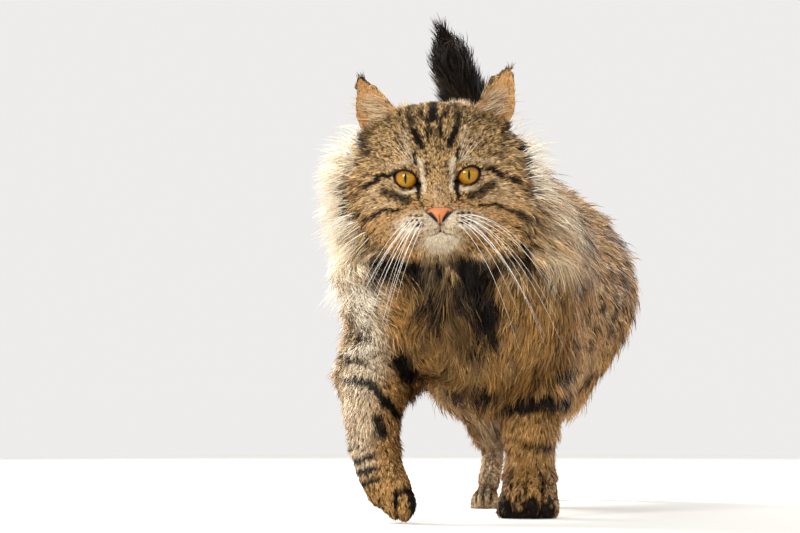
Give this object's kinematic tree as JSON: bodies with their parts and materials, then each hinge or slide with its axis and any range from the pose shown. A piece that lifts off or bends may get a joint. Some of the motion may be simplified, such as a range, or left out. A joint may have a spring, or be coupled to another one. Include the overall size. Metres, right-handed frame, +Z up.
{
  "type": "long-haired tabby cat",
  "caption": "Long-haired brown tabby cat, life size and still, walking with one forepaw lifted and its tail raised.",
  "frame": {"origin": "centre of the bounding box's floor face, on the level of the soles", "axes": "+Z up; -Y is the way the cat walks, along its trunk; +X is the cat's left side"},
  "size_m": [0.218, 0.6486, 0.4472],
  "materials": {
    "coat": "long soft fur, brown tabby",
    "eyes": "wet, amber iris with an upright slit pupil",
    "nose_leather": "bare, slightly moist skin"
  },
  "bodies": {
    "root": {"chest": "coat", "ear_left": "coat", "ear_right": "coat", "eye_left": "eyes", "eye_right": "eyes", "foreleg_left_lower": "coat", "foreleg_left_upper": "coat", "foreleg_right_lower": "coat", "foreleg_right_upper": "coat", "forepaw_left": "coat", "forepaw_right": "coat", "head": "coat", "hindleg_left_metatarsus": "coat", "hindleg_left_shank": "coat", "hindleg_left_thigh": "coat", "hindleg_right_metatarsus": "coat", "hindleg_right_shank": "coat", "hindleg_right_thigh": "coat", "hindpaw_left": "coat", "hindpaw_right": "coat", "jaw": "coat", "loin": "coat", "neck": "coat", "nose": "nose_leather", "rump": "coat", "tail_base": "coat", "tail_middle": "coat", "tail_tip": "coat"}
  },
  "joints": []
}
